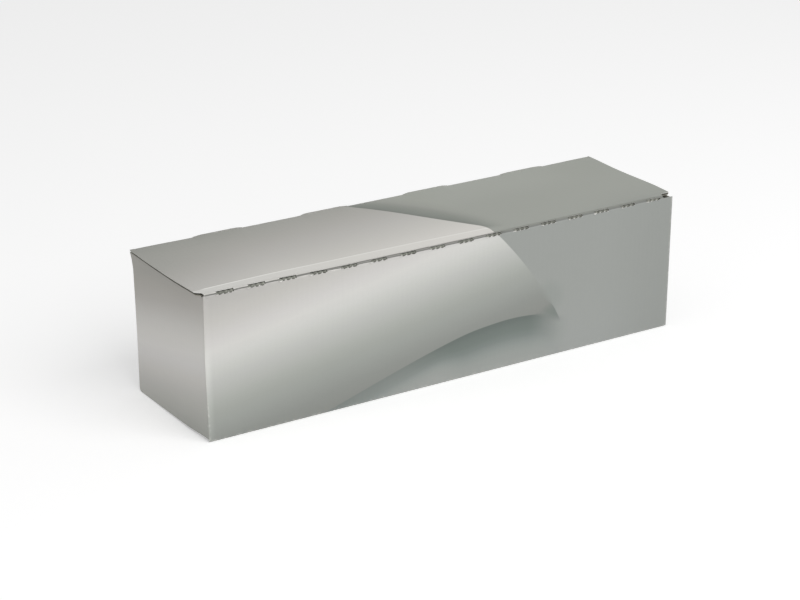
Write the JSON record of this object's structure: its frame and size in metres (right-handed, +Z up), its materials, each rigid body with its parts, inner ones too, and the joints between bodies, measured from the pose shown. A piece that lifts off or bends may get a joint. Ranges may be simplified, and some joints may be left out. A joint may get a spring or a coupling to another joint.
{
  "type": "aluminium foil dispenser carton",
  "caption": "Long sealed corrugated carton round a roll of aluminium foil, with a tear perforation along the lid's front edge and a hinge fold along its back.",
  "frame": {"origin": "centre of the underside, on the surface that the carton stands on", "axes": "+X along the carton, -Y out of the front panel below the tear line, +Z up out of the lid"},
  "size_m": [0.3184, 0.082, 0.0845],
  "materials": {
    "printed_board": "coated corrugated board printed in silver and grey, semi-matt, with raw paper at its cut edges"
  },
  "bodies": {
    "root": {"foil_carton": "printed_board"}
  },
  "joints": []
}
